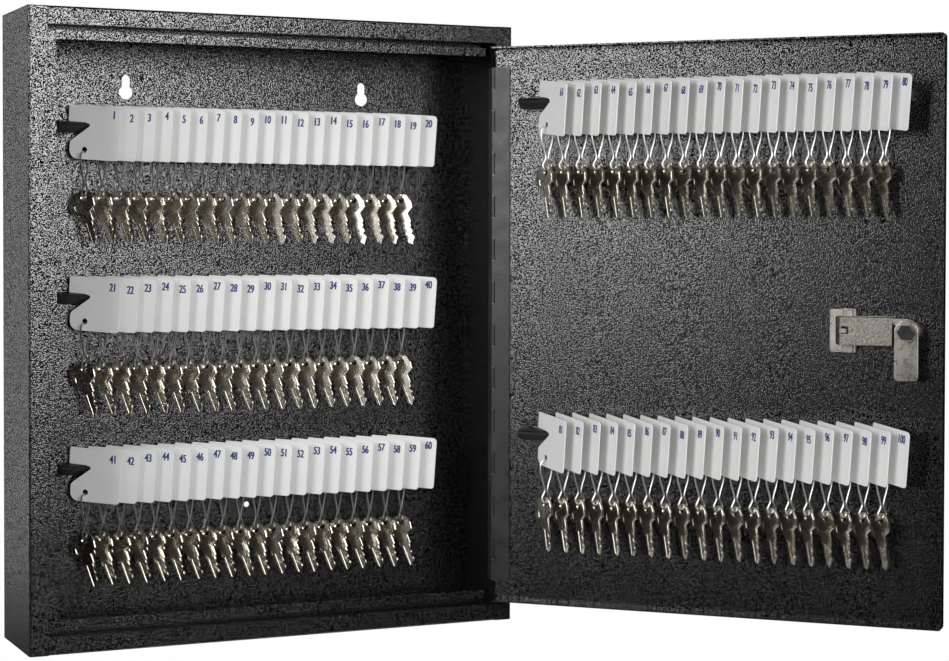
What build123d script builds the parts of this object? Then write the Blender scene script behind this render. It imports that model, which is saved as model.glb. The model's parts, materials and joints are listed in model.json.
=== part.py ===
from build123d import *

import math
import os

# Wall key cabinet for 100 keys: folded steel body, piano-hinged door,
# five racks of numbered tags and a four-dial combination cam lock.
# Millimetres. X to the right, Y towards the wall, Z up.
# The origin is the centre of the back face, which lies on the wall.

# ---- body ----
WIDTH = 355.6
HEIGHT = 435.0
DEPTH = 79.4
SHEET = 1.0
BEND = 1.6
STILE = 12.8
RAIL = 12.0
FRAME_RETURN = 11.0
SEAM = 0.3

# ---- back panel ----
KEYHOLE_X = 90.1
KEYHOLE_Z = 166.7
KEYHOLE_R = 4.9
KEYHOLE_SLOT_R = 2.9
KEYHOLE_RISE = 9.3
STEADY_HOLE_R = 2.1
STEADY_HOLE_Z = -132.8

# ---- door stop, on three sides of the opening ----
STOP_FACE = 6.0
STOP_GAP = 3.0
STOP_BACKSET = 12.0
STOP_WEB = 10.0
STRIKE_LOW = -34.0
STRIKE_HIGH = 14.0

# ---- door, drawn closed and then swung open about its hinge pin ----
OPEN_ANGLE = 134.5
PIN_X = 163.0
PIN_Y = -DEPTH
PIN_R = 0.95
KNUCKLE_R = 1.7
KNUCKLE_RUN_R = 1.0
KNUCKLES = 24
HINGE_LENGTH = 375.0
LEAF = 13.3
DOOR_EDGE = 2.3
DOOR_WIDTH = 324.7
DOOR_HEIGHT = 403.2
PAN_DEPTH = 11.0

# ---- racks ----
RACK_LENGTH = 280.6
RACK_RISE = 15.9
RACK_DROP = 7.0
RAIL_PROJECTION = 12.65
PITCH = 12.7
TAGS_PER_RACK = 20
TIP_SETBACK = 15.0
BODY_RACK_Z = (141.7, 21.05, -99.6)
DOOR_RACK_Z = (161.3, -77.8)
BODY_FIRST_TIP = -120.5
DOOR_FIRST_TIP = 48.6
DOOR_RACK_CENTRE = 164.6
BODY_TAG_ANGLE = 35.0
DOOR_TAG_ANGLE = 41.0
BODY_DROOP = 3.9
DOOR_DROOP = 6.2

# ---- tags, wire snaps and keys ----
TAG_T = 1.0
TAG_HOLE = (-2.2, -17.4)
TAG_HOLE_R = 2.05
WIRE_R = 0.6
SNAP_DROP = 32.2
KEY_T = 2.0
KEY_HOLE_R = 2.3
KEY_HOLE_OFFSET = 3.7
BODY_SNAP_TURN = -15.5
BODY_KEY_TILT = -24.0
DOOR_KEY_TILT = -16.0

# ---- combination lock: s runs from the hinge pin to the door's free edge ----
LOCK_S = 275.0
HOUSING = (36.0, 12.2, 19.4)
BEZEL_T = 4.4
DIAL_R = 8.0
DIAL_T = 5.4
DIAL_PITCH = 7.5
DIAL_OFF = 3.0
ROD_R = 1.5
SPINDLE_S = 303.0
SPINDLE_R = 4.0
BOSS_R = 7.0
CAM_OFF = 13.6
CAM_T = 2.2
CAM_R = 8.1
CAM_REACH = 33.0


def box(x, y, z):
    """Axis-aligned box from three pairs of limits."""
    size = [abs(b - a) for a, b in (x, y, z)]
    mid = [(a + b) / 2 for a, b in (x, y, z)]
    return Pos(*mid) * Box(*size)


def cyl(radius, start, end, centre, axis="Z"):
    """Cylinder from start to end along one axis, centred on the other two."""
    turn = {"X": Rot(0, 90, 0), "Y": Rot(90, 0, 0), "Z": Rot(0, 0, 0)}[axis]
    spot = list(centre)
    spot.insert("XYZ".index(axis), (start + end) / 2)
    return Pos(*spot) * turn * Cylinder(radius, abs(end - start))


def door_point(s, off, z):
    """A point of the closed door: s from the pin to the free edge, off inwards."""
    return (PIN_X - s, PIN_Y + off, z)


def door_box(s, off, z):
    """Box in door coordinates, closed."""
    return box((PIN_X - s[1], PIN_X - s[0]), (PIN_Y + off[0], PIN_Y + off[1]), z)


def door_cyl(radius, off_a, off_b, s, z):
    """Cylinder square to the closed door."""
    return cyl(radius, PIN_Y + off_a, PIN_Y + off_b, (PIN_X - s, z), "Y")


def swing(shape):
    """Turn a part of the closed door to the open rest pose."""
    return shape.rotate(Axis((PIN_X, PIN_Y, 0), (0, 0, 1)), OPEN_ANGLE)


def joined(solids):
    """Several solids as one compound."""
    return Compound(children=[s for shape in solids for s in shape.solids()])


# ---------------------------------------------------------------- body shell
def side_panel(sign):
    """Side wall with its front stile and the return at the opening."""
    edge = WIDTH / 2
    inner = edge - STILE
    half = HEIGHT / 2
    clear = half - RAIL
    wall = box((edge - SHEET, edge), (-DEPTH, 0), (-half, half))
    stile = box((inner, edge), (-DEPTH, -DEPTH + SHEET), (-half, half))
    back = (-DEPTH, -DEPTH + FRAME_RETURN)
    lip = box((inner, inner + SHEET), back, (-clear, clear))
    part = wall + stile + lip
    bends = part.edges().filter_by(Axis.Z).filter_by(
        lambda e: abs(e.center().X - edge) < 0.01 and abs(e.center().Y + DEPTH) < 0.01
    )
    part = fillet(bends, BEND)
    return part if sign > 0 else mirror(part, Plane.YZ)


def end_panel(sign):
    """Top or bottom wall with its front rail and the return at the opening."""
    inside = WIDTH / 2 - SHEET
    span = WIDTH / 2 - STILE - SEAM
    half = HEIGHT / 2
    clear = half - RAIL
    wall = box((-inside, inside), (-DEPTH + SHEET, 0), (half - SHEET, half))
    front = box((-span, span), (-DEPTH, -DEPTH + SHEET), (clear, half))
    nose = box((-span, span), (-DEPTH, -DEPTH + 3), (half - SHEET, half))
    back = (-DEPTH, -DEPTH + FRAME_RETURN)
    lip = box((-span, span), back, (clear, clear + SHEET))
    part = wall + front + nose + lip
    bends = part.edges().filter_by(Axis.X).filter_by(
        lambda e: abs(e.center().Z - half) < 0.01 and abs(e.center().Y + DEPTH) < 0.01
    )
    part = fillet(bends, BEND)
    return part if sign > 0 else mirror(part, Plane.XY)


def keyhole(x):
    """Round entry with a narrower slot rising from it, through the panel."""
    entry = cyl(KEYHOLE_R, -5, 5, (x, KEYHOLE_Z), "Y")
    top = cyl(KEYHOLE_SLOT_R, -5, 5, (x, KEYHOLE_Z + KEYHOLE_RISE), "Y")
    slot = box(
        (x - KEYHOLE_SLOT_R, x + KEYHOLE_SLOT_R),
        (-5, 5),
        (KEYHOLE_Z, KEYHOLE_Z + KEYHOLE_RISE),
    )
    return entry + top + slot


def screw_spots(first_x):
    """The two fixing points along a rack."""
    return (first_x + 6.0, first_x + RACK_LENGTH - 6.0)


def back_panel():
    """Back sheet with two keyholes, the steadying hole and the rack rivet holes."""
    inside = WIDTH / 2 - SHEET
    tall = HEIGHT / 2 - SHEET
    part = box((-inside, inside), (-SHEET, 0), (-tall, tall))
    part -= keyhole(-KEYHOLE_X) + keyhole(KEYHOLE_X)
    part -= cyl(STEADY_HOLE_R, -5, 5, (0, STEADY_HOLE_Z), "Y")
    for z in BODY_RACK_Z:
        for x in screw_spots(-RACK_LENGTH / 2):
            part -= cyl(1.5, -5, 5, (x, z + 6.9), "Y")
    return part


def stop_strip(x, z, web, foot):
    """One side of the door stop: face strip, web going back, foot to the wall."""
    face_y = -DEPTH + STOP_BACKSET
    part = box(x, (face_y, face_y + SHEET), z)
    part += box(web[0], (face_y, face_y + STOP_WEB), web[1])
    part += box(foot[0], (face_y + STOP_WEB - SHEET, face_y + STOP_WEB), foot[1])
    return part


def door_stop():
    """Z-section stop behind the opening, with a strike gap for the lock's cam."""
    x_out = WIDTH / 2 - STILE - STOP_GAP
    z_out = HEIGHT / 2 - RAIL - STOP_GAP
    x_in = x_out - STOP_FACE
    z_in = z_out - STOP_FACE
    wall_x = WIDTH / 2 - SHEET
    wall_z = HEIGHT / 2 - SHEET
    part = stop_strip(
        (-x_out, -x_in),
        (-z_out, z_out),
        ((-x_out, -x_out + SHEET), (-z_out, z_out)),
        ((-wall_x, -x_out), (-z_out, z_out)),
    )
    for sign in (1, -1):
        strip = stop_strip(
            (-x_out, x_out),
            (z_in, z_out),
            ((-x_out, x_out), (z_out - SHEET, z_out)),
            ((-wall_x, x_out), (z_out - SHEET, wall_z)),
        )
        part += strip if sign > 0 else mirror(strip, Plane.XY)
    face_back = -DEPTH + STOP_BACKSET + SHEET
    strike = (STRIKE_LOW, STRIKE_HIGH)
    part -= box((-wall_x - 1, -x_in), (face_back, face_back + 20), strike)
    return part


# ---------------------------------------------------------------- piano hinge
def knuckle_spans():
    """(low, high) of each knuckle from the top down; even ones belong to the body."""
    step = HINGE_LENGTH / KNUCKLES
    top = HINGE_LENGTH / 2
    return [(top - (i + 1) * step, top - i * step) for i in range(KNUCKLES)]


def hinge_leaf(own, bore_r, plate, relief):
    """Leaf plate with rolled knuckles at its own stations and reliefs at the rest."""
    part = plate
    for i, (low, high) in enumerate(knuckle_spans()):
        if i % 2 != own:
            part -= relief(low - 0.15, high + 0.15)
            continue
        roll = cyl(KNUCKLE_R, low + 0.15, high - 0.15, (PIN_X, PIN_Y))
        part += roll
    return part - cyl(bore_r, -220, 220, (PIN_X, PIN_Y))


def hinge_body_leaf():
    """Leaf lying on the right-hand return of the frame."""
    half = HINGE_LENGTH / 2
    x = (PIN_X + 1.0, PIN_X + 2.0)
    plate = box(x, (PIN_Y, PIN_Y + 10.5), (-half, half))

    def relief(low, high):
        return box((PIN_X, PIN_X + 3), (PIN_Y - 1, PIN_Y + 2.1), (low, high))

    return hinge_leaf(0, KNUCKLE_RUN_R, plate, relief)


def hinge_door_leaf():
    """Leaf lying on the inner face of the door."""
    half = HINGE_LENGTH / 2
    plate = door_box((0, LEAF), (1.0, 2.0), (-half, half))

    def relief(low, high):
        return door_box((-1, 2.1), (0, 3), (low, high))

    return swing(hinge_leaf(1, PIN_R, plate, relief))


def hinge_pin():
    """Wire pin through all the knuckles."""
    half = HINGE_LENGTH / 2 - 0.4
    return cyl(PIN_R, -half, half, (PIN_X, PIN_Y))


# ---------------------------------------------------------------- door pan
def door_pan():
    """Folded door skin with flanges on three sides and the lock's cut-outs."""
    s0 = DOOR_EDGE
    s1 = DOOR_EDGE + DOOR_WIDTH
    half = DOOR_HEIGHT / 2
    part = door_box((s0, s1), (0, PAN_DEPTH), (-half, half))
    hollow = door_box(
        (s0 - 1, s1 - SHEET),
        (SHEET, PAN_DEPTH + 1),
        (-half + SHEET, half - SHEET),
    )
    part -= hollow
    free_x = PIN_X - s1
    corners = part.edges().filter_by(Axis.Y).filter_by(
        lambda e: abs(e.center().X - free_x) < 0.01
    )
    part = fillet(corners, 2.4)
    bends = part.edges().filter_by(
        lambda e: abs(e.center().Y - PIN_Y) < 0.01
        and (abs(abs(e.center().Z) - half) < 0.01 or abs(e.center().X - free_x) < 0.01)
    )
    part = fillet(bends, BEND)
    cut_s = (LOCK_S - HOUSING[0] / 2 - 0.3, LOCK_S + HOUSING[0] / 2 + 0.3)
    cut_z = HOUSING[2] / 2 + 0.3
    part -= door_box(cut_s, (-1, 2), (-cut_z, cut_z))
    part -= door_cyl(BOSS_R + 0.3, -1, 2, SPINDLE_S, 0)
    for z in DOOR_RACK_Z:
        for s in door_screw_spots():
            part -= door_cyl(1.5, -1, 2, s, z + 6.9)
    return part


# ---------------------------------------------------------------- racks
def rack_plate(x0, face_y, z):
    """Painted backing strip of a rack, at x0 onwards, from face_y outwards."""
    part = box(
        (x0, x0 + RACK_LENGTH),
        (face_y - SHEET, face_y),
        (z - RACK_DROP, z + RACK_RISE),
    )
    for x in screw_spots(x0):
        part -= cyl(1.5, face_y - 3, face_y + 3, (x, z + 6.9), "Y")
        part -= cyl(0.8, face_y - 3, face_y + 3, (x + 1.2, z + 12.0), "Y")
    return part


def rack_rail(x0, face_y, z):
    """Beak-section rail that the tags hook over."""
    tip = face_y - RAIL_PROJECTION
    outline = [
        (face_y, z + 3.6),
        (face_y, z - 4.9),
        (tip + 5.3, z - 4.9),
        (tip + 0.25, z - 0.45),
        (tip, z + 0.1),
        (tip + 0.45, z + 0.9),
        (tip + 1.9, z + 2.0),
    ]
    face = make_face(Polyline([(x0, y, zz) for y, zz in outline], close=True))
    return extrude(face, amount=RACK_LENGTH, dir=(1, 0, 0))


def rack_rivets(x0, face_y, panel_y, z):
    """Round-head rivets through the strip and the sheet behind it."""
    rivets = []
    for x in screw_spots(x0):
        head = cyl(3.0, face_y - 1.4, face_y, (x, z + 6.9), "Y")
        head = fillet(head.edges().filter_by(GeomType.CIRCLE).sort_by(Axis.Y)[:1], 0.9)
        shank = cyl(1.5, face_y, panel_y, (x, z + 6.9), "Y")
        rivets.append(head + shank)
    return joined(rivets)


def door_screw_spots():
    """Rack fixing points along the door, measured from the hinge pin."""
    first = DOOR_RACK_CENTRE - RACK_LENGTH / 2
    return screw_spots(first)


def to_door(shape):
    """Carry a rack drawn at the origin plane to the closed door's inner face."""
    turned = shape.rotate(Axis.Z, 180)
    return swing(Pos(PIN_X, PIN_Y + SHEET, 0) * turned)


# ---------------------------------------------------------------- tag
def tag_solid():
    """One tag: local X to its free end, Z up, the notch's tip at the origin."""
    outline = [
        (-15.2, 14.0),
        (23.1, 14.0),
        (23.1, -24.0),
        (-13.3, -24.0),
        (-13.3, -11.8),
        (0.6, -0.7),
        (0.6, 0.9),
        (-3.0, 1.85),
        (-15.2, 2.2),
    ]
    rounded = {
        (-15.2, 14.0): 1.0,
        (23.1, 14.0): 3.0,
        (23.1, -24.0): 2.0,
        (-13.3, -24.0): 6.4,
        (-13.3, -11.8): 4.0,
    }
    face = make_face(Polyline(outline, close=True))
    for (x, z), radius in rounded.items():
        corner = face.vertices().sort_by_distance((x, z, 0))[0]
        face = fillet(corner, radius)
    plate = extrude(Plane.XZ * face, amount=TAG_T / 2, both=True)
    return plate - cyl(TAG_HOLE_R, -2, 2, TAG_HOLE, "Y")


def snap_solid():
    """Wire snap in the YZ plane, hanging from the centre of the tag's hole."""
    side = [
        (0.0, -1.1),
        (2.8, -1.9),
        (4.6, -4.4),
        (4.9, -7.5),
        (4.0, -12.8),
        (1.8, -19.6),
        (1.1, -23.8),
        (2.4, -26.6),
        (3.5, -29.0),
        (2.6, -31.4),
        (0.0, -SNAP_DROP),
    ]
    whole = side + [(-y, z) for y, z in reversed(side[1:-1])]
    path = Spline([(0, y, z) for y, z in whole], periodic=True)
    section = Plane(origin=path @ 0, z_dir=path % 0) * Circle(WIRE_R)
    return sweep(section, path=path)


def key_outline(points):
    """Closed face in the XZ plane, drawn about the key's own axis."""
    corners = [(x - KEY_HOLE_OFFSET, 0, z) for x, z in points]
    return make_face(Polyline(corners, close=True))


def key_box(x, y, z):
    """Box drawn about the key's own axis."""
    return Pos(-KEY_HOLE_OFFSET, 0, 0) * box(x, y, z)


def key_solid():
    """One key in the XZ plane, the centre of its off-centre ring hole at the origin."""
    half_bow = [
        (5.2, 5.2),
        (9.6, 2.2),
        (11.0, -3.0),
        (10.2, -8.2),
        (5.2, -10.6),
    ]
    bow = key_outline(half_bow + [(-x, z) for x, z in reversed(half_bow)])
    blade = key_outline(
        [
            (-3.4, -17.6),
            (3.4, -17.6),
            (3.4, -20.2),
            (2.2, -21.4),
            (2.9, -22.8),
            (2.9, -24.4),
            (1.3, -26.0),
            (2.6, -27.5),
            (2.6, -29.4),
            (1.2, -31.0),
            (-0.8, -33.6),
            (-3.4, -31.0),
        ]
    )
    part = extrude(bow, amount=KEY_T / 2, both=True)
    part = chamfer(part.edges().filter_by(Axis.Y, reverse=True), 0.35)
    part += key_box((-4.7, 4.7), (-0.8, 0.8), (-17.6, -10.4))
    part += extrude(blade, amount=0.8, both=True)
    part -= cyl(KEY_HOLE_R, -3, 3, (0, 0), "Y")
    for side in (1, -1):
        part -= key_box((-6.0, 6.0), (side * 0.8, side * 1.4), (-8.2, -3.0))
        part -= key_box((-1.6, -0.5), (side * 0.5, side * 1.4), (-34.0, -18.2))
    return part


def wobble(index, size):
    """Small fixed variation from one hanging set to the next."""
    return size * math.sin(2.4 * index + 0.7)


def tag_location(tip, turn, droop):
    """Where a tag sits: its notch tip, heading and droop."""
    return Pos(*tip) * Rot(0, 0, turn) * Rot(0, droop, 0)


def hung_set(tip, turn, droop, snap_turn, tilt, index):
    """Tag, wire snap and key of one hook, placed."""
    place = tag_location(tip, turn, droop)
    hole = (place * Pos(TAG_HOLE[0], 0, TAG_HOLE[1])).position
    heading = turn + snap_turn + wobble(index, 2.0)
    snap_place = Pos(*hole) * Rot(0, 0, heading)
    key_place = (
        snap_place
        * Pos(0, 0, -SNAP_DROP - (KEY_HOLE_R - WIRE_R - 0.4))
        * Rot(0, tilt + wobble(index + 3, 1.2), 0)
    )
    return (
        TAG.moved(place),
        SNAP.moved(snap_place),
        KEY.moved(key_place),
    )


def body_sets(z):
    """All the hung sets of one rack in the body, left to right."""
    sets = []
    for i in range(TAGS_PER_RACK):
        tip = (BODY_FIRST_TIP + PITCH * i, -TIP_SETBACK, z)
        sets.append(
            hung_set(tip, -BODY_TAG_ANGLE, BODY_DROOP, BODY_SNAP_TURN, BODY_KEY_TILT, i)
        )
    return sets


def door_sets(z):
    """All the hung sets of one rack on the door, from the hinge outwards."""
    sets = []
    heading = 180 - DOOR_TAG_ANGLE
    for i in range(TAGS_PER_RACK):
        tip = door_point(DOOR_FIRST_TIP + PITCH * i, TIP_SETBACK, z)
        hung = hung_set(tip, heading, DOOR_DROOP, 0, DOOR_KEY_TILT, i)
        sets.append([swing(shape) for shape in hung])
    return sets


# ---------------------------------------------------------------- lock
def dial_stations():
    """Where the four dials stand along the lock."""
    return [LOCK_S + DIAL_PITCH * (i - 1.5) for i in range(4)]


def dial_disc(radius, width, s):
    """A disc on the dials' axis."""
    mid = PIN_X - s
    return cyl(radius, mid - width / 2, mid + width / 2, (PIN_Y + DIAL_OFF, 0), "X")


def lock_bezel():
    """Outer escutcheon with four dial windows and the spindle's boss."""
    s0 = LOCK_S - HOUSING[0] / 2 - 5.0
    s1 = SPINDLE_S + 11.5
    part = door_box((s0, s1), (-BEZEL_T, 0), (-12.5, 12.5))
    part = fillet(part.edges().filter_by(Axis.Y), 5.0)
    part = fillet(part.edges().group_by(Axis.Y)[0], 1.2)
    part += door_cyl(BOSS_R, 0, CAM_OFF - 0.4, SPINDLE_S, 0)
    for s in dial_stations():
        part -= dial_disc(DIAL_R + 0.35, DIAL_T + 0.6, s)
    part -= door_cyl(SPINDLE_R + 0.05, -BEZEL_T - 1, CAM_OFF, SPINDLE_S, 0)
    return part


def lock_housing():
    """Die-cast box behind the door that carries the dials."""
    length, depth, tall = HOUSING
    s0 = LOCK_S - length / 2
    s1 = LOCK_S + length / 2
    part = door_box((s0, s1), (0, depth), (-tall / 2, tall / 2))
    part = fillet(part.edges().group_by(Axis.Y)[-1], 0.5)
    part -= door_box((s0 + 1.1, s1 - 1.1), (-1, depth - 0.8), (-tall / 2 + 0.7, tall / 2 - 0.7))
    rod = (PIN_Y + DIAL_OFF, 0)
    part -= cyl(ROD_R, PIN_X - s1 - 1, PIN_X - s0 + 1, rod, "X")
    part -= door_box((s0 - 1, s0 + 6.2), (depth - 0.8, depth + 1), (-1.9, 3.2))
    part -= door_cyl(0.8, depth - 0.5, depth + 1, s0 + 6.6, 6.2)
    for s in dial_stations()[1:]:
        part -= door_box((s - 2.0, s - 0.7), (depth - 0.5, depth + 1), (-8.6, -7.0))
        part -= door_box((s + 0.5, s + 2.0), (depth - 0.5, depth + 1), (-8.6, -7.0))
        part -= door_cyl(0.7, depth - 0.5, depth + 1, s, -3.6)
    return part


def lock_clip():
    """U-shaped retaining clip that slides round the housing."""
    s0 = LOCK_S - HOUSING[0] / 2
    face = SHEET + 1.5
    part = door_box((s0 - 8.7, s0 + 9.8), (SHEET, face), (-15, 15))
    part = chamfer(part.edges().filter_by(Axis.Y), 1.2)
    part = chamfer(part.faces().sort_by(Axis.Y)[-1].edges(), 0.4)
    opening = door_box((s0 - 4.4, s0 + 20), (0, 4), (-10.1, 10.1))
    inner = opening.edges().filter_by(Axis.Y).sort_by(Axis.X)[-2:]
    part -= fillet(inner, 2.4)
    for sign in (1, -1):
        low, high = sorted((sign * 10.5, sign * 14.9))
        part += door_box((s0 + 1.6, s0 + 9.8), (face, SHEET + 4.0), (low, high))
        part -= door_box((s0 + 7.5, s0 + 8.5), (face - 0.7, SHEET + 5.0), (low - 1, high + 1))
        part -= door_box((s0 + 0.5, s0 + 1.6), (face - 0.7, SHEET + 5.0), (low - 1, high + 1))
    return part


def lock_dial(s):
    """One numbered dial: knurl notches at its rim and a gate in its hub."""
    part = dial_disc(DIAL_R, DIAL_T, s)
    for i in range(10):
        angle = math.radians(36 * i + 18)
        y = PIN_Y + DIAL_OFF + (DIAL_R + 0.55) * math.cos(angle)
        z = (DIAL_R + 0.55) * math.sin(angle)
        mid = PIN_X - s
        part -= cyl(1.0, mid - DIAL_T, mid + DIAL_T, (y, z), "X")
    part -= dial_disc(ROD_R + 0.05, DIAL_T + 1, s)
    return part


def dial_rod():
    """Fixed rod that the dials turn on."""
    s0 = LOCK_S - HOUSING[0] / 2 + 0.1
    s1 = LOCK_S + HOUSING[0] / 2 - 0.1
    return cyl(ROD_R, PIN_X - s1, PIN_X - s0, (PIN_Y + DIAL_OFF, 0), "X")


def dial_spring():
    """Leaf spring above the dials, inside the housing."""
    return door_box((LOCK_S - 15, LOCK_S + 15), (0.5, 9.0), (8.5, 9.0))


def code_lever():
    """Small code-change lever in the notch of the housing."""
    s0 = LOCK_S - HOUSING[0] / 2
    part = door_box((s0 + 0.2, s0 + 4.9), (HOUSING[1] - 0.7, HOUSING[1] + 0.7), (-1.2, 1.7))
    return fillet(part.edges().filter_by(Axis.Y), 0.5)


def knob_spindle():
    """Knob outside the door, spindle, square for the cam and threaded end."""
    part = door_cyl(9.0, -9.0, -BEZEL_T - 0.4, SPINDLE_S, 0)
    part = fillet(part.edges().group_by(Axis.Y)[0], 1.0)
    part += door_box((SPINDLE_S - 2.4, SPINDLE_S + 2.4), (-16.0, -8.8), (-8.4, 8.4))
    part += door_cyl(SPINDLE_R, -BEZEL_T - 0.4, CAM_OFF, SPINDLE_S, 0)
    part += door_box(
        (SPINDLE_S - 2.6, SPINDLE_S + 2.6),
        (CAM_OFF, CAM_OFF + CAM_T),
        (-2.6, 2.6),
    )
    part += door_cyl(2.4, CAM_OFF + CAM_T, CAM_OFF + CAM_T + 3.9, SPINDLE_S, 0)
    return part


def lock_cam():
    """Cam arm, hanging straight down when the lock is open."""
    top = door_cyl(CAM_R, CAM_OFF, CAM_OFF + CAM_T, SPINDLE_S, 0)
    arm = door_box(
        (SPINDLE_S - CAM_R, SPINDLE_S + CAM_R),
        (CAM_OFF, CAM_OFF + CAM_T),
        (-CAM_REACH, 0),
    )
    corners = arm.edges().filter_by(Axis.Y).filter_by(lambda e: e.center().Z < -20)
    arm = fillet(corners, 3.0)
    part = top + arm
    part = fillet(part.edges().group_by(Axis.Y)[-1], 0.5)
    part -= door_box(
        (SPINDLE_S - 2.6, SPINDLE_S + 2.6),
        (CAM_OFF - 1, CAM_OFF + CAM_T + 1),
        (-2.6, 2.6),
    )
    return part


def cam_stop_plate():
    """Fixed plate under the cam with a stop ear towards the housing."""
    off = CAM_OFF - 1.4
    ear = make_face(
        Polyline(
            [
                door_point(SPINDLE_S - 10.6, off, 8.9),
                door_point(SPINDLE_S + 0.5, off, 8.9),
                door_point(SPINDLE_S + 0.5, off, 5.0),
                door_point(SPINDLE_S - 7.4, off, 3.4),
                door_point(SPINDLE_S - 10.6, off, 7.4),
            ],
            close=True,
        )
    )
    part = extrude(ear, amount=1.0, dir=(0, 1, 0))
    part += door_cyl(8.6, off, off + 1.0, SPINDLE_S, 0)
    return part - door_cyl(BOSS_R, off - 1, off + 2, SPINDLE_S, 0)


def cam_washer():
    """Plain washer under the cam's nut."""
    start = CAM_OFF + CAM_T
    part = door_cyl(7.3, start, start + 0.9, SPINDLE_S, 0)
    return part - door_cyl(2.4, start - 1, start + 2, SPINDLE_S, 0)


def cam_nut():
    """Closed hexagon nut that holds the cam on the square."""
    start = CAM_OFF + CAM_T + 0.9
    outline = Plane.XZ * RegularPolygon(5.5, 6)
    part = extrude(outline, amount=-4.0)
    part = Pos(*door_point(SPINDLE_S, start, 0)) * part
    part -= door_cyl(2.4, start - 1, start + 3.2, SPINDLE_S, 0)
    return part - door_cyl(1.6, start + 3.5, start + 5, SPINDLE_S, 0)


# ---------------------------------------------------------------- assembly
TAG = tag_solid()
SNAP = snap_solid()
KEY = key_solid()


def rack_nodes(parts):
    """Strips, rails and rivets of the five racks."""
    x0 = -RACK_LENGTH / 2
    for n, z in enumerate(BODY_RACK_Z, 1):
        parts[f"body_rack_{n}_strip"] = rack_plate(x0, -SHEET, z)
        parts[f"body_rack_{n}_rail"] = rack_rail(x0, -2 * SHEET, z)
        parts[f"body_rack_{n}_rivets"] = rack_rivets(x0, -2 * SHEET, 0, z)
    x0 = DOOR_RACK_CENTRE - RACK_LENGTH / 2
    for n, z in enumerate(DOOR_RACK_Z, 1):
        parts[f"door_rack_{n}_strip"] = to_door(rack_plate(x0, 0, z))
        parts[f"door_rack_{n}_rail"] = to_door(rack_rail(x0, -SHEET, z))
        parts[f"door_rack_{n}_rivets"] = to_door(rack_rivets(x0, -SHEET, SHEET, z))


def hung_nodes(parts):
    """Tags, snaps and keys, one group per rack; the last set of rack 1 is loose."""
    names = ("tags", "snaps", "keys")
    racks = [(f"body_rack_{n}", body_sets(z)) for n, z in enumerate(BODY_RACK_Z, 1)]
    racks += [(f"door_rack_{n}", door_sets(z)) for n, z in enumerate(DOOR_RACK_Z, 1)]
    for rack, sets in racks:
        if rack == "body_rack_1":
            loose = sets.pop()
            for name, shape in zip(names, loose):
                parts[f"loose_{name[:-1]}_20"] = shape
        for k, name in enumerate(names):
            parts[f"{rack}_{name}"] = joined([hung[k] for hung in sets])


def lock_nodes(parts):
    """Every piece of the combination lock, on the open door."""
    parts["lock_bezel"] = swing(lock_bezel())
    parts["lock_housing"] = swing(lock_housing())
    parts["lock_clip"] = swing(lock_clip())
    parts["lock_dial_rod"] = swing(dial_rod())
    parts["lock_dial_spring"] = swing(dial_spring())
    parts["lock_code_lever"] = swing(code_lever())
    for n, s in enumerate(dial_stations(), 1):
        parts[f"lock_dial_{n}"] = swing(lock_dial(s))
    parts["lock_knob_spindle"] = swing(knob_spindle())
    parts["lock_cam"] = swing(lock_cam())
    parts["lock_cam_stop_plate"] = swing(cam_stop_plate())
    parts["lock_cam_washer"] = swing(cam_washer())
    parts["lock_cam_nut"] = swing(cam_nut())


def build():
    """Every node by name."""
    parts = {
        "side_panel_left": side_panel(-1),
        "side_panel_right": side_panel(1),
        "top_panel": end_panel(1),
        "bottom_panel": end_panel(-1),
        "back_panel": back_panel(),
        "door_stop": door_stop(),
        "hinge_body_leaf": hinge_body_leaf(),
        "hinge_door_leaf": hinge_door_leaf(),
        "hinge_pin": hinge_pin(),
        "door_pan": swing(door_pan()),
    }
    rack_nodes(parts)
    hung_nodes(parts)
    lock_nodes(parts)
    return parts


os.makedirs("parts", exist_ok=True)
for node, shape in build().items():
    export_step(shape, f"parts/{node}.step")
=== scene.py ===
import json
import math

import bmesh
import bpy
from mathutils import Matrix, Vector


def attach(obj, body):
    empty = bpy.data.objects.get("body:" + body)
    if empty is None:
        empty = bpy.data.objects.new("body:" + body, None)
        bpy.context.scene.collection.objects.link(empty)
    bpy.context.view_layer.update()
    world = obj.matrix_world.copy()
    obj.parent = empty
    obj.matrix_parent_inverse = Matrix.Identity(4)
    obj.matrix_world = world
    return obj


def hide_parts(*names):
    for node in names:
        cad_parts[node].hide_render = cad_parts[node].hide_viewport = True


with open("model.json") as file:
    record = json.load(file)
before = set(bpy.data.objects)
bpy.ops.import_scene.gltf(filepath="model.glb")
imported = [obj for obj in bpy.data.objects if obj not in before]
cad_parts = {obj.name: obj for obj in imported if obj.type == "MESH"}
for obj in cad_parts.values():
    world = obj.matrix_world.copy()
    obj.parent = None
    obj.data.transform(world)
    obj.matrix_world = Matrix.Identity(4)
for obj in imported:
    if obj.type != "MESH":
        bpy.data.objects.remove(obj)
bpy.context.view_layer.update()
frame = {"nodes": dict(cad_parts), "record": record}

MM = 0.001

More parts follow.
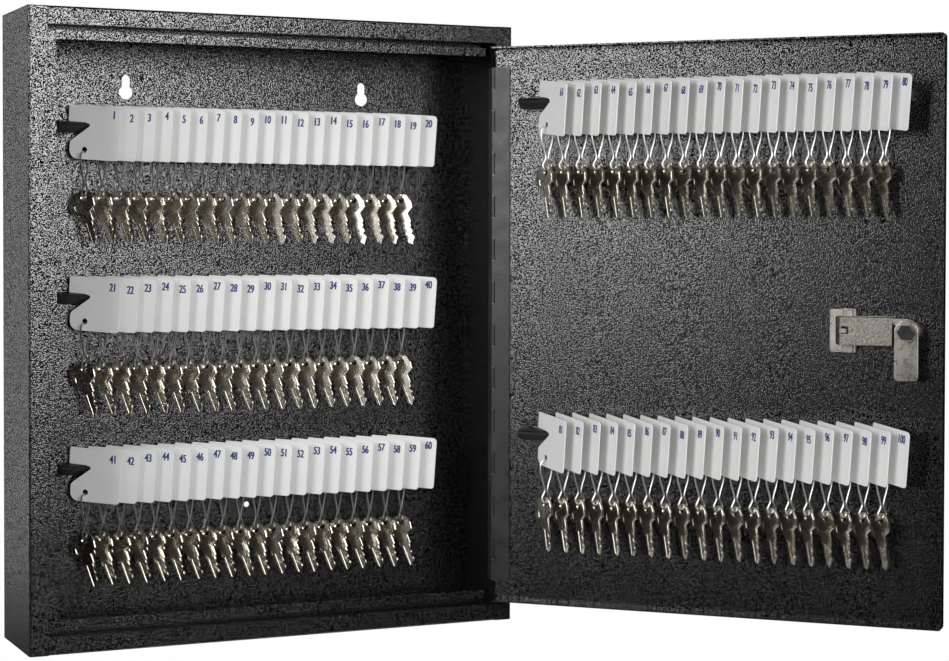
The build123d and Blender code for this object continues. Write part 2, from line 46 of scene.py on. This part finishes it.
# ---- the same sizes as the CAD model, in millimetres ----
PIN = (163.0, -79.4)
OPEN_ANGLE = 134.5
PITCH = 12.7
TAGS_PER_RACK = 20
TIP_SETBACK = 15.0
BODY_RACK_Z = (141.7, 21.05, -99.6)
DOOR_RACK_Z = (161.3, -77.8)
BODY_FIRST_TIP = -120.5
DOOR_FIRST_TIP = 48.6
BODY_TURN = -35.0
DOOR_TURN = 180.0 - 41.0 + OPEN_ANGLE
BODY_DROOP = 3.9
DOOR_DROOP = 6.2
TAG_HOLE = (-2.2, -17.4)
SNAP_DROP = 32.2
WIRE_R = 0.6
KEY_DROP = 1.3
KEY_HOLE_R = 2.3
KEY_HOLE_OFFSET = 3.7
BODY_SNAP_TURN = -15.5
BODY_KEY_TILT = -24.0
DOOR_KEY_TILT = -16.0
LOCK_S = 275.0
DIAL_PITCH = 7.5
DIAL_OFF = 3.0
DIAL_RIM = 8.03
DIAL_DIGITS = 10

# ---- sizes that only the fine pieces use, in millimetres and degrees ----
SHARP_ANGLE = 32.0
TAG_HALF = 0.5
NUMBER_EDGE = 19.6
NUMBER_LEVEL = 4.6
NUMBER_HEIGHT = 5.5
NUMBER_SPREAD = 0.22


# ------------------------------------------------------------ materials
class Nodes:
    """A material's node tree with its Principled shader, and short ways to add to it."""

    def __init__(self, name, color, rough, metallic=0.0):
        self.material = bpy.data.materials.new(name)
        self.material.use_nodes = True
        self.tree = self.material.node_tree
        self.shader = self.tree.nodes["Principled BSDF"]
        self.set("Base Color", (*color, 1.0))
        self.set("Roughness", rough)
        self.set("Metallic", metallic)
        self.coords = self.tree.nodes.new("ShaderNodeTexCoord")

    def set(self, socket, value):
        self.shader.inputs[socket].default_value = value

    def link(self, source, target):
        self.tree.links.new(source, target)

    def noise(self, scale, detail=2.0):
        """Solid noise in object coordinates: scale is in features per metre."""
        node = self.tree.nodes.new("ShaderNodeTexNoise")
        node.inputs["Scale"].default_value = scale
        node.inputs["Detail"].default_value = detail
        self.link(self.coords.outputs["Object"], node.inputs["Vector"])
        return node.outputs["Fac"]

    def ramp(self, source, stops):
        """Colour ramp through (place, colour) stops."""
        node = self.tree.nodes.new("ShaderNodeValToRGB")
        marks = node.color_ramp.elements
        while len(marks) < len(stops):
            marks.new(0.5)
        for mark, (place, color) in zip(marks, stops):
            mark.position = place
            mark.color = (*color, 1.0)
        self.link(source, node.inputs["Fac"])
        return node.outputs["Color"]

    def levels(self, source, low, high, to_low, to_high):
        """Source mapped from low..high to to_low..to_high."""
        node = self.tree.nodes.new("ShaderNodeMapRange")
        for socket, value in zip(node.inputs[1:5], (low, high, to_low, to_high)):
            socket.default_value = value
        self.link(source, node.inputs["Value"])
        return node.outputs["Result"]

    def bump(self, height, distance):
        """Surface relief of the given height in metres."""
        node = self.tree.nodes.new("ShaderNodeBump")
        node.inputs["Distance"].default_value = distance
        self.link(height, node.inputs["Height"])
        self.link(node.outputs["Normal"], self.shader.inputs["Normal"])

    def color_from(self, source):
        self.link(source, self.shader.inputs["Base Color"])

    def rough_from(self, source):
        self.link(source, self.shader.inputs["Roughness"])


def wrinkle_paint():
    """Black powder coat: glossy crests about one millimetre apart, dull hollows between them, with
    painted shade: the base colour runs from a faint grey on the crests to black in the hollows.
    """
    m = Nodes("wrinkle_black", (0.003, 0.003, 0.0031), 0.24)
    grain = m.noise(1250.0, 0.0)
    # Painted shade and highlight: the base colour follows the bump's noise, black in the wrinkle's
    # hollows and faint grey on its crests.
    m.color_from(m.ramp(grain, [(0.45, (0.0, 0.0, 0.0)), (0.62, (0.015, 0.015, 0.0155))]))
    m.link(m.levels(grain, 0.47, 0.54, 0.0, 1.0), m.shader.inputs["Specular IOR Level"])
    m.bump(grain, 0.00012)
    m.set("IOR", 1.75)
    return m.material


def smooth_paint(name, level, rough):
    """Thin satin black paint on steel."""
    m = Nodes(name, (level, level, level * 1.03), rough)
    m.rough_from(m.levels(m.noise(90.0, 3.0), 0.3, 0.7, rough - 0.06, rough + 0.08))
    m.bump(m.noise(700.0, 2.0), 0.00005)
    return m.material


def rail_plastic():
    """Extruded black plastic, faintly drawn along its length."""
    m = Nodes("rail_black", (0.012, 0.012, 0.013), 0.42)
    m.bump(m.noise(900.0, 2.0), 0.00003)
    return m.material


def tag_plastic():
    """Off-white tag plastic with a soft, slightly translucent sheen."""
    m = Nodes("tag_white", (0.93, 0.93, 0.92), 0.5)
    m.color_from(m.ramp(m.noise(35.0, 2.0), [(0.3, (0.91, 0.91, 0.9)), (0.7, (0.95, 0.95, 0.94))]))
    m.bump(m.noise(500.0, 2.0), 0.00002)
    m.set("Subsurface Weight", 0.08)
    m.set("Subsurface Scale", 0.002)
    return m.material


def ink():
    """Hot-stamped dark blue."""
    m = Nodes("tag_ink", (0.02, 0.045, 0.22), 0.45)
    m.color_from(m.ramp(m.noise(900.0, 2.0), [(0.3, (0.015, 0.03, 0.16)), (0.7, (0.03, 0.06, 0.26))]))
    return m.material


def metal(name, color, rough, bump, grain=900.0, patch=0.8, coarse=60.0):
    """Plated or cast metal with slightly uneven colour, and with a fine grain where bump is given.

    The darkest patches are patch times as bright as color, and coarse sets their size.
    """
    m = Nodes(name, color, rough, 1.0)
    dark = tuple(c * patch for c in color)
    m.color_from(m.ramp(m.noise(coarse, 3.0), [(0.35, dark), (0.65, color)]))
    if bump:
        m.rough_from(m.levels(m.noise(coarse * 3, 3.0), 0.3, 0.7, rough - 0.04, rough + 0.06))
        m.bump(m.noise(grain, 3.0), bump)
    return m.material


def all_materials():
    """One material for each slot of the record."""
    return {
        "body_paint": wrinkle_paint(),
        "hinge_paint": smooth_paint("hinge_black", 0.02, 0.32),
        "rack_paint": wrinkle_paint(),
        "rail_black": rail_plastic(),
        "tag_white": tag_plastic(),
        "tag_ink": ink(),
        "snap_wire": metal("snap_wire", (0.75, 0.73, 0.7), 0.32, 0.0),
        "key_nickel": metal("key_nickel", (0.95, 0.9, 0.8), 0.22, 0.0, 900.0, 0.85, 120.0),
        "pin_steel": metal("pin_steel", (0.55, 0.55, 0.55), 0.3, 0.00002),
        "lock_satin": metal("lock_satin", (0.66, 0.645, 0.59), 0.3, 0.0, 900.0, 0.97),
        "lock_zinc": metal("lock_zinc", (0.4, 0.385, 0.34), 0.42, 0.0003, 1100.0, 0.45, 700.0),
        "lock_nickel": metal("lock_nickel", (0.6, 0.57, 0.51), 0.28, 0.00003, 700.0, 0.8),
        "nut_black": smooth_paint("nut_black", 0.02, 0.3),
        "dial_black": smooth_paint("dial_black", 0.02, 0.4),
    }


materials = all_materials()


def dress_cad():
    """Every shown CAD node takes the material of its record slot."""
    for part in frame["record"]["subparts"]:
        obj = frame["nodes"][part["node"]]
        obj.data.materials.clear()
        obj.data.materials.append(materials[part["material_slot"]])


dress_cad()


# ------------------------------------------------------------ shaping
def rounded(points, steps=5):
    """Closed outline from (x, z, radius) corners, each rounded with an arc."""
    outline = []
    count = len(points)
    for i, (x, z, radius) in enumerate(points):
        corner = Vector((x, z))
        before = Vector(points[i - 1][:2]) - corner
        after = Vector(points[(i + 1) % count][:2]) - corner
        before.normalize()
        after.normalize()
        half = before.angle(after) / 2
        if radius == 0 or half > 1.55:
            outline.append((x, z))
            continue
        reach = radius / math.tan(half)
        middle = corner + (before + after).normalized() * (radius / math.sin(half))
        start = corner + before * reach - middle
        end = corner + after * reach - middle
        sweep = start.angle_signed(end)
        for k in range(steps + 1):
            turn = Matrix.Rotation(-sweep * k / steps, 2)
            outline.append(tuple(middle + turn @ start))
    return outline


def ring(x, z, radius, count=20):
    """Round outline."""
    angles = [2 * math.pi * i / count for i in range(count)]
    return [(x + radius * math.cos(a), z + radius * math.sin(a)) for a in angles]


def plate(outlines, half, bevel):
    """Plate with eased edges: X along, Z up, half its thickness to each side of Y."""
    curve = bpy.data.curves.new("outline", "CURVE")
    curve.dimensions = "2D"
    curve.fill_mode = "BOTH"
    curve.extrude = half - bevel
    curve.bevel_depth = bevel
    curve.bevel_resolution = 0
    curve.offset = -bevel
    for points in outlines:
        spline = curve.splines.new("POLY")
        spline.points.add(len(points) - 1)
        for knot, (x, z) in zip(spline.points, points):
            knot.co = (x, z, 0.0, 1.0)
        spline.use_cyclic_u = True
    return meshed(curve, Matrix.Rotation(math.radians(90), 4, "X"))


def meshed(curve, matrix):
    """A curve turned into a mesh, placed by matrix, with doubled points joined."""
    holder = bpy.data.objects.new("holder", curve)
    bpy.context.scene.collection.objects.link(holder)
    mesh = bpy.data.meshes.new_from_object(holder)
    bpy.data.objects.remove(holder)
    bpy.data.curves.remove(curve)
    mesh.transform(matrix)
    shape = bmesh.new()
    shape.from_mesh(mesh)
    bmesh.ops.remove_doubles(shape, verts=shape.verts, dist=0.001)
    shape.to_mesh(mesh)
    shape.free()
    return mesh


def wire(points, radius):
    """Closed round wire through points."""
    curve = bpy.data.curves.new("wire", "CURVE")
    curve.dimensions = "3D"
    curve.bevel_depth = radius
    curve.bevel_resolution = 2
    curve.resolution_u = 5
    spline = curve.splines.new("BEZIER")
    spline.bezier_points.add(len(points) - 1)
    for knot, point in zip(spline.bezier_points, points):
        knot.co = point
        knot.handle_left_type = "AUTO"
        knot.handle_right_type = "AUTO"
    spline.use_cyclic_u = True
    return meshed(curve, Matrix.Identity(4))


def gathered(name, placed, slot, body, nodes=()):
    """One piece from (mesh, matrix in millimetres) pairs, riding on a body."""
    shape = bmesh.new()
    for mesh, matrix in placed:
        copy = mesh.copy()
        copy.transform(matrix)
        shape.from_mesh(copy)
        bpy.data.meshes.remove(copy)
    mesh = bpy.data.meshes.new(name)
    bmesh.ops.recalc_face_normals(shape, faces=shape.faces)
    bmesh.ops.scale(shape, vec=(MM, MM, MM), verts=shape.verts)
    shape.to_mesh(mesh)
    shape.free()
    mesh.shade_smooth()
    mesh.set_sharp_from_angle(angle=math.radians(SHARP_ANGLE))
    mesh.materials.clear()
    mesh.materials.append(materials[slot])
    obj = bpy.data.objects.new(name, mesh)
    bpy.context.scene.collection.objects.link(obj)
    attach(obj, body)
    if nodes:
        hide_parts(*nodes)
    return obj


# ------------------------------------------------------------ tags, snaps and keys
def tag_mesh():
    """Tag with its hook notch and ring hole."""
    edge = rounded(
        [
            (-15.2, 14.0, 1.0),
            (23.1, 14.0, 3.0),
            (23.1, -24.0, 2.0),
            (-13.3, -24.0, 6.4),
            (-13.3, -11.8, 4.0),
            (0.6, -0.7, 0.3),
            (0.6, 0.9, 0.3),
            (-3.0, 1.85, 0),
            (-15.2, 2.2, 0.8),
        ]
    )
    return plate([edge, ring(*TAG_HOLE, 2.05)], TAG_HALF, 0.13)


def snap_mesh():
    """Wire snap: wide where it straddles the tag, nipped in, then a small loop."""
    side = [
        (0.0, -1.1),
        (2.8, -1.9),
        (4.6, -4.4),
        (4.9, -7.5),
        (4.0, -12.8),
        (1.8, -19.6),
        (1.1, -23.8),
        (2.4, -26.6),
        (3.5, -29.0),
        (2.6, -31.4),
        (0.0, -SNAP_DROP),
    ]
    whole = side + [(-y, z) for y, z in reversed(side[1:-1])]
    return wire([(0.0, y, z) for y, z in whole], WIRE_R)


def key_meshes():
    """Key bow with a raised rim and sunk panel, neck, and grooved blade.

    Drawn about the key's own axis, then moved so that its ring hole is at the origin.
    """
    half_bow = [(5.2, 5.2), (9.6, 2.2), (10.9, -3.0), (10.1, -8.2), (5.2, -10.6)]
    corners = half_bow + [(-x, z) for x, z in reversed(half_bow)]
    bow = rounded([(x, z, 0.8) for x, z in corners], 3)
    hole = ring(KEY_HOLE_OFFSET, 0.0, KEY_HOLE_R)
    panel = rounded([(-6, -8.2, 0.8), (6, -8.2, 0.8), (6, -3, 0.8), (-6, -3, 0.8)], 3)
    neck = rounded([(-4.7, -17.6, 0.6), (4.7, -17.6, 0.6), (4.7, -10.2, 0), (-4.7, -10.2, 0)], 3)
    cuts = [
        (3.4, -20.2),
        (2.2, -21.4),
        (2.9, -22.8),
        (2.9, -24.4),
        (1.3, -26.0),
        (2.6, -27.5),
        (2.6, -29.4),
        (1.2, -31.0),
    ]
    tip = [(-0.8, -33.6), (-3.4, -31.0), (-3.4, -17.4)]
    core = [(3.4, -17.4)] + cuts + tip
    back = [(-3.4, -17.4), (-1.6, -17.4), (-1.6, -32.6), (-3.4, -31.0)]
    teeth = [(-0.5, -17.4), (3.4, -17.4)] + cuts + [(-0.5, -33.2)]
    meshes = [
        plate([bow, hole, panel], 1.0, 0.3),
        plate([bow, ring(KEY_HOLE_OFFSET, 0.0, KEY_HOLE_R + 0.2)], 0.8, 0.1),
        plate([neck], 0.8, 0.15),
        plate([core], 0.5, 0.05),
        plate([back], 0.8, 0.12),
        plate([teeth], 0.8, 0.12),
    ]
    for mesh in meshes:
        mesh.transform(Matrix.Translation((-KEY_HOLE_OFFSET, 0.0, 0.0)))
    return meshes


def turned(angle, axis):
    """Rotation by angle degrees about an axis."""
    return Matrix.Rotation(math.radians(angle), 4, axis)


def wobble(index, size):
    """Small fixed variation from one hanging set to the next."""
    return size * math.sin(2.4 * index + 0.7)


def set_places(tip, turn, droop, snap_turn, tilt, index):
    """Matrices of the tag, snap and key of one hook."""
    tag = Matrix.Translation(tip) @ turned(turn, "Z") @ turned(droop, "Y")
    hole = tag @ Vector((TAG_HOLE[0], 0.0, TAG_HOLE[1]))
    snap = Matrix.Translation(hole) @ turned(turn + snap_turn + wobble(index, 2.0), "Z")
    key = (
        snap
        @ Matrix.Translation((0.0, 0.0, -SNAP_DROP - KEY_DROP))
        @ turned(tilt + wobble(index + 3, 1.2), "Y")
    )
    return tag, snap, key


def on_door(s, off, z):
    """A point of the open door: s from the pin to the free edge, off inwards."""
    a = math.radians(OPEN_ANGLE)
    x = PIN[0] - s * math.cos(a) - off * math.sin(a)
    y = PIN[1] - s * math.sin(a) + off * math.cos(a)
    return (x, y, z)


def body_places(z):
    """Places of the sets on one rack in the body."""
    tips = [(BODY_FIRST_TIP + PITCH * i, -TIP_SETBACK, z) for i in range(TAGS_PER_RACK)]
    return [
        set_places(tip, BODY_TURN, BODY_DROOP, BODY_SNAP_TURN, BODY_KEY_TILT, i)
        for i, tip in enumerate(tips)
    ]


def door_places(z):
    """Places of the sets on one rack on the door."""
    tips = [on_door(DOOR_FIRST_TIP + PITCH * i, TIP_SETBACK, z) for i in range(TAGS_PER_RACK)]
    return [
        set_places(tip, DOOR_TURN, DOOR_DROOP, 0.0, DOOR_KEY_TILT, i)
        for i, tip in enumerate(tips)
    ]


def glyph(text, height, width_scale):
    """Bold condensed number, right-aligned and level with the line, facing -Y."""
    font = bpy.data.curves.new("glyph", "FONT")
    font.body = text
    font.size = height / 0.7
    font.offset = 0.012 * font.size
    font.extrude = 0.02
    font.align_x = "RIGHT"
    stand = turned(90, "X") @ Matrix.Diagonal((width_scale, 1.0, 1.0, 1.0))
    return meshed(font, stand)


def number_place(index):
    """Where a tag's number stands on its face, a little up or down from one to the next."""
    drop = 1.2 * math.sin(1.9 * index + 0.4)
    return Matrix.Translation((NUMBER_EDGE, -TAG_HALF - 0.01, NUMBER_LEVEL + drop))


def stamped(number, tag):
    """A tag's number, printed three times a little apart so that it reads bold."""
    mesh = glyph(str(number), NUMBER_HEIGHT, 0.64)
    place = tag @ number_place(number)
    steps = (-NUMBER_SPREAD, 0.0, NUMBER_SPREAD)
    return [(mesh, place @ Matrix.Translation((x, -0.002 * x, 0.0))) for x in steps]


def hang_rack(rack, places, first, body):
    """Fine tags, numbers, snaps and keys of one rack."""
    sets = list(enumerate(places, first))
    tag_sets = [(TAG, tag) for _, (tag, _, _) in sets]
    snap_sets = [(SNAP, snap) for _, (_, snap, _) in sets]
    key_sets = [(part, key) for _, (_, _, key) in sets for part in KEY]
    numbers = [entry for number, (tag, _, _) in sets for entry in stamped(number, tag)]
    gathered(f"fine_{rack}_tags", tag_sets, "tag_white", body, [f"{rack}_tags"])
    gathered(f"fine_{rack}_snaps", snap_sets, "snap_wire", body, [f"{rack}_snaps"])
    gathered(f"fine_{rack}_keys", key_sets, "key_nickel", body, [f"{rack}_keys"])
    gathered(f"numbers_{rack}", numbers, "tag_ink", body)


def hang_loose(places, number):
    """The movable set: its tag, snap and key ride on their own bodies."""
    tag, snap, key = places
    gathered("fine_loose_tag", [(TAG, tag)], "tag_white", "tag_20", ["loose_tag_20"])
    gathered("fine_loose_snap", [(SNAP, snap)], "snap_wire", "snap_20", ["loose_snap_20"])
    gathered("fine_loose_key", [(part, key) for part in KEY], "key_nickel", "key_20", ["loose_key_20"])
    gathered("number_loose_tag", stamped(number, tag), "tag_ink", "tag_20")


def hang_everything():
    """All five racks, numbered on from the body to the door."""
    first = 1
    for n, z in enumerate(BODY_RACK_Z):
        places = body_places(z)
        if n == 0:
            hang_loose(places.pop(), TAGS_PER_RACK)
        hang_rack(f"body_rack_{n + 1}", places, first, "cabinet")
        first += TAGS_PER_RACK
    for n, z in enumerate(DOOR_RACK_Z):
        hang_rack(f"door_rack_{n + 1}", door_places(z), first, "door")
        first += TAGS_PER_RACK


def dial_digits():
    """White digits round the rim of each code dial."""
    for n in range(4):
        s = LOCK_S + DIAL_PITCH * (n - 1.5)
        hub = Matrix.Translation(on_door(s, DIAL_OFF, 0.0)) @ turned(OPEN_ANGLE, "Z")
        rim = Matrix.Translation((0.85, -DIAL_RIM, -1.3))
        placed = []
        for k in range(DIAL_DIGITS):
            turn = turned(360.0 * k / DIAL_DIGITS, "X")
            placed.append((glyph(str(k), 2.6, 0.8), hub @ turn @ rim))
        gathered(f"digits_dial_{n + 1}", placed, "tag_white", f"dial_{n + 1}")


TAG = tag_mesh()
SNAP = snap_mesh()
KEY = key_meshes()
hang_everything()
dial_digits()


# ------------------------------------------------------------ stage and camera
def floor():
    """Plain pale floor, well below the wall-hung cabinet."""
    corners = [(-1.8, -1.0), (1.6, -1.0), (1.6, 1.2), (-1.8, 1.2)]
    mesh = bpy.data.meshes.new("floor")
    mesh.from_pydata([(x, y, -1.0) for x, y in corners], [], [(0, 1, 2, 3)])
    obj = bpy.data.objects.new("floor", mesh)
    bpy.context.scene.collection.objects.link(obj)
    m = Nodes("floor_white", (0.9, 0.9, 0.9), 0.8)
    m.set("Emission Color", (1.0, 1.0, 1.0, 1.0))
    m.set("Emission Strength", 0.1)
    obj.data.materials.append(m.material)


def camera():
    """Left of the cabinet, level with its middle and a metre and a half in front of the wall."""
    data = bpy.data.cameras.new("camera")
    data.sensor_width = 36.0
    data.lens = 80.572
    data.shift_y = -0.0458
    data.clip_end = 50.0
    obj = bpy.data.objects.new("camera", data)
    yaw, pitch, roll = 0.42857, -0.022135, 0.001812
    ahead = Vector(
        (math.sin(yaw) * math.cos(pitch), math.cos(yaw) * math.cos(pitch), math.sin(pitch))
    )
    right = Vector((math.cos(yaw), -math.sin(yaw), 0.0))
    up = right.cross(ahead)
    right, up = (
        right * math.cos(roll) + up * math.sin(roll),
        up * math.cos(roll) - right * math.sin(roll),
    )
    turn = Matrix((right, up, -ahead)).transposed().to_4x4()
    obj.matrix_world = Matrix.Translation((-0.494924, -1.486627, 0.06167)) @ turn
    bpy.context.scene.collection.objects.link(obj)
    bpy.context.scene.camera = obj


def area_light(name, place, target, size, power):
    """Square softbox at place, aimed at target."""
    data = bpy.data.lights.new(name, "AREA")
    data.shape = "RECTANGLE"
    data.size, data.size_y = size
    data.energy = power
    obj = bpy.data.objects.new(name, data)
    aim = Vector(target) - Vector(place)
    obj.rotation_euler = aim.to_track_quat("-Z", "Y").to_euler()
    obj.location = place
    bpy.context.scene.collection.objects.link(obj)


def lighting():
    """Soft studio light from the upper left and front, fading to the right and below."""
    area_light("left_box", (-1.616, -0.753, 0.6), (0.25, -0.123, 0.1), (1.2, 1.3), 21.5)
    area_light("front_box", (0.1, -2.3, 0.55), (0.0, -0.05, 0.05), (1.4, 1.3), 31.0)
    area_light("rim_box", (-1.2, 2.2, 0.2), (-0.1, 0.0, 0.0), (1.2, 1.6), 7.0)
    area_light("back_box", (1.5, 2.1, 0.9), (0.1, 0.0, 0.0), (1.4, 1.4), 24.0)
    white_surround(0.008)
    bpy.context.scene.view_settings.view_transform = "Standard"


def white_surround(glow):
    """White behind the object, which lights the object only by glow."""
    world = bpy.data.worlds.new("world")
    world.use_nodes = True
    tree = world.node_tree
    seen = tree.nodes["Background"]
    seen.inputs["Color"].default_value = (1.0, 1.0, 1.0, 1.0)
    dim = tree.nodes.new("ShaderNodeBackground")
    dim.inputs["Strength"].default_value = glow
    path = tree.nodes.new("ShaderNodeLightPath")
    mix = tree.nodes.new("ShaderNodeMixShader")
    tree.links.new(path.outputs["Is Camera Ray"], mix.inputs["Fac"])
    tree.links.new(dim.outputs["Background"], mix.inputs[1])
    tree.links.new(seen.outputs["Background"], mix.inputs[2])
    tree.links.new(mix.outputs["Shader"], tree.nodes["World Output"].inputs["Surface"])
    bpy.context.scene.world = world


floor()
camera()
lighting()
